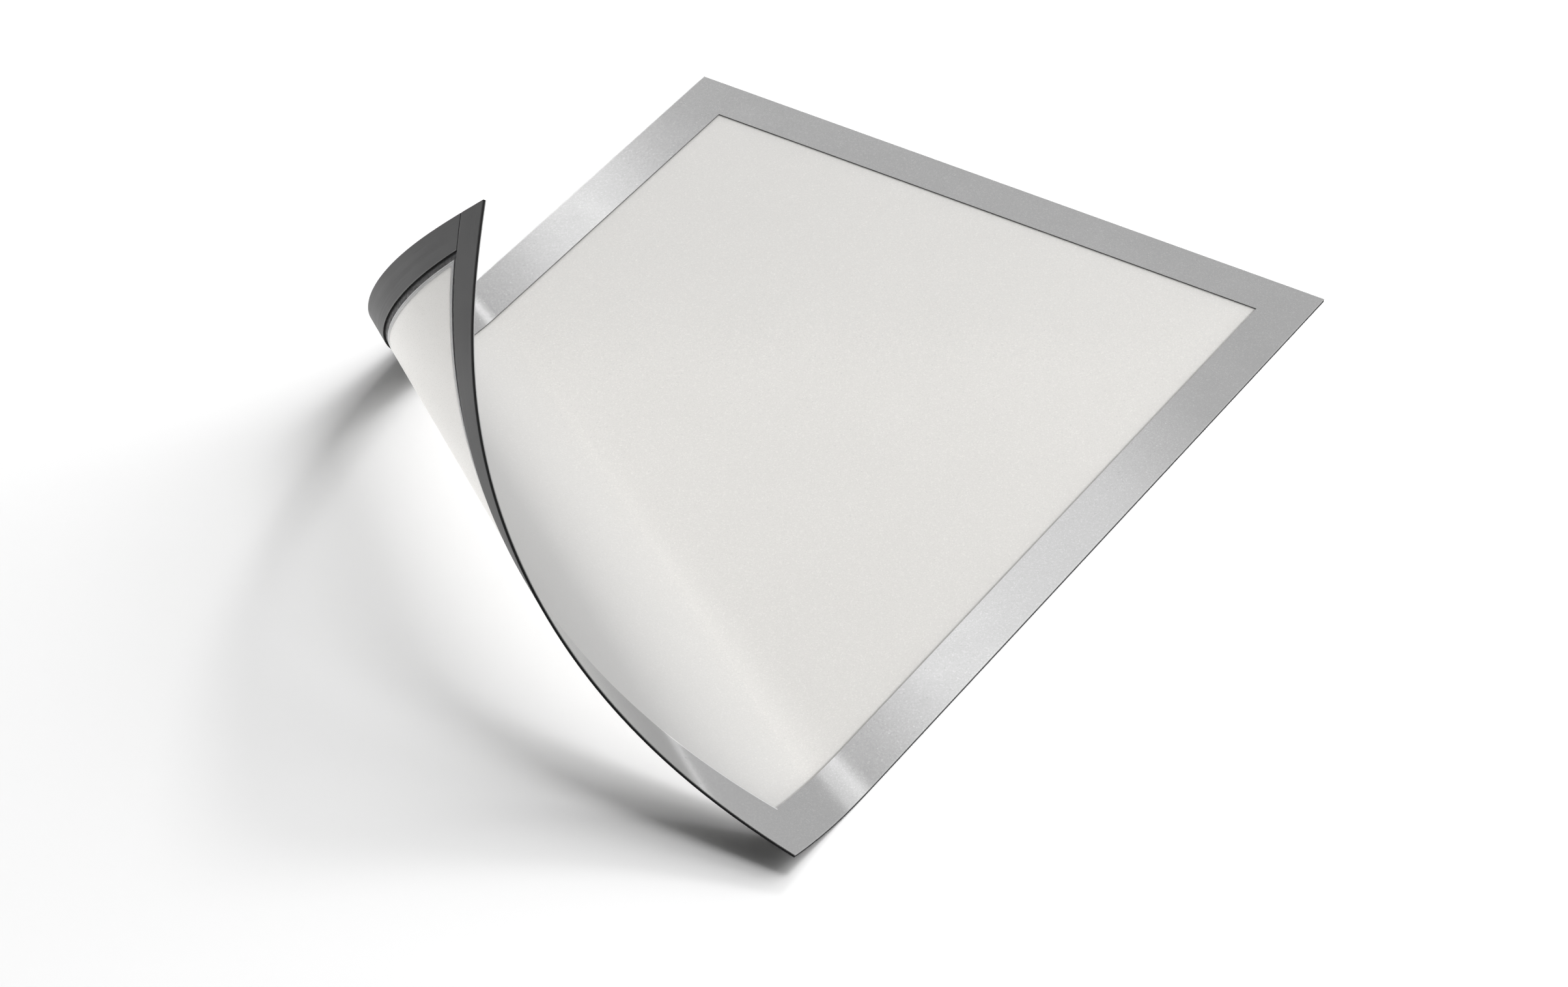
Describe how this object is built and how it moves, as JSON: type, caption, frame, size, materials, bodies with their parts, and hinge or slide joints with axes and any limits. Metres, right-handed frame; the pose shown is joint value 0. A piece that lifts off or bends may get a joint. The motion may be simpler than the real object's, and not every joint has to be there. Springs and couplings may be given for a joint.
{
  "type": "magnetic sign frame",
  "caption": "Flexible magnetic sign frame for an A4 sheet: silver border foil, window film behind it and magnet strips on the back, lying with its lower left corner peeled up in a curl.",
  "frame": {"origin": "middle of the back face of the frame as it lies flat, on the surface that its magnets rest on", "axes": "+Z out of the front, up from the surface; +Y along the long side to the top edge; +X to the right edge, with the peeled corner at -X -Y"},
  "size_m": [0.2367, 0.3223, 0.115],
  "materials": {
    "silver_foil": "silver metallic pigment, satin",
    "window_film": "thin translucent film, anti-glare",
    "magnet_rubber": "matt magnetic rubber strip"
  },
  "bodies": {
    "flat_part": {"left_magnet": "magnet_rubber", "right_magnet": "magnet_rubber", "silver_border": "silver_foil", "top_magnet": "magnet_rubber", "window_film": "window_film"},
    "bend_1": {"border_bottom_flex_1": "silver_foil", "border_left_flex_1": "silver_foil", "bottom_magnet_flex_1": "magnet_rubber", "left_magnet_flex_1": "magnet_rubber", "right_magnet_flex_1": "magnet_rubber", "window_film_flex_1": "window_film"},
    "bend_2": {"border_bottom_flex_2": "silver_foil", "border_left_flex_2": "silver_foil", "bottom_magnet_flex_2": "magnet_rubber", "left_magnet_flex_2": "magnet_rubber", "window_film_flex_2": "window_film"},
    "bend_3": {"border_bottom_flex_3": "silver_foil", "border_left_flex_3": "silver_foil", "bottom_magnet_flex_3": "magnet_rubber", "left_magnet_flex_3": "magnet_rubber", "window_film_flex_3": "window_film"},
    "bend_4": {"border_bottom_flex_4": "silver_foil", "border_left_flex_4": "silver_foil", "bottom_magnet_flex_4": "magnet_rubber", "left_magnet_flex_4": "magnet_rubber", "window_film_flex_4": "window_film"},
    "bend_5": {"border_bottom_flex_5": "silver_foil", "border_left_flex_5": "silver_foil", "bottom_magnet_flex_5": "magnet_rubber", "left_magnet_flex_5": "magnet_rubber", "window_film_flex_5": "window_film"},
    "bend_6": {"border_bottom_flex_6": "silver_foil", "border_left_flex_6": "silver_foil", "bottom_magnet_flex_6": "magnet_rubber", "left_magnet_flex_6": "magnet_rubber", "window_film_flex_6": "window_film"},
    "bend_7": {"border_bottom_flex_7": "silver_foil", "border_left_flex_7": "silver_foil", "bottom_magnet_flex_7": "magnet_rubber", "left_magnet_flex_7": "magnet_rubber", "window_film_flex_7": "window_film"},
    "bend_8": {"border_corner_flex_8": "silver_foil", "bottom_magnet_flex_8": "magnet_rubber", "left_magnet_flex_8": "magnet_rubber", "window_film_flex_8": "window_film"},
    "bend_9": {"border_corner_flex_9": "silver_foil", "bottom_magnet_flex_9": "magnet_rubber", "left_magnet_flex_9": "magnet_rubber"}
  },
  "joints": [
    {"name": "flex_1", "type": "hinge", "parent": "flat_part", "child": "bend_1", "pos_m": [0, -0.06264, 0.0005], "axis": [-0.8477, 0.5305, 0], "range_deg": [-17.55, 2.63]},
    {"name": "flex_2", "type": "hinge", "parent": "bend_1", "child": "bend_2", "pos_m": [-0.00937, -0.08534, 0.00816], "axis": [-0.822, 0.5693, -0.0147], "range_deg": [-16.99, 2.55]},
    {"name": "flex_3", "type": "hinge", "parent": "bend_2", "child": "bend_3", "pos_m": [-0.02214, -0.08956, 0.01543], "axis": [-0.8097, 0.5862, -0.0291], "range_deg": [-12.95, 1.94]},
    {"name": "flex_4", "type": "hinge", "parent": "bend_3", "child": "bend_4", "pos_m": [-0.03371, -0.09272, 0.02538], "axis": [-0.7981, 0.6005, -0.0491], "range_deg": [-14.12, 2.12]},
    {"name": "flex_5", "type": "hinge", "parent": "bend_4", "child": "bend_5", "pos_m": [-0.04347, -0.09413, 0.03795], "axis": [-0.7883, 0.6107, -0.0748], "range_deg": [-14.99, 2.25]},
    {"name": "flex_6", "type": "hinge", "parent": "bend_5", "child": "bend_6", "pos_m": [-0.05075, -0.09312, 0.05272], "axis": [-0.7816, 0.6148, -0.1054], "range_deg": [-15.09, 2.26]},
    {"name": "flex_7", "type": "hinge", "parent": "bend_6", "child": "bend_7", "pos_m": [-0.05494, -0.08926, 0.06893], "axis": [-0.7789, 0.6115, -0.1391], "range_deg": [-14.37, 2.16]},
    {"name": "flex_8", "type": "hinge", "parent": "bend_7", "child": "bend_8", "pos_m": [-0.05561, -0.08249, 0.08569], "axis": [-0.7807, 0.6002, -0.1739], "range_deg": [-11.8, 1.77]},
    {"name": "flex_9", "type": "hinge", "parent": "bend_8", "child": "bend_9", "pos_m": [-0.05273, -0.07333, 0.10249], "axis": [-0.7865, 0.5815, -0.2082], "range_deg": [-6.54, 0.98]}
  ]
}
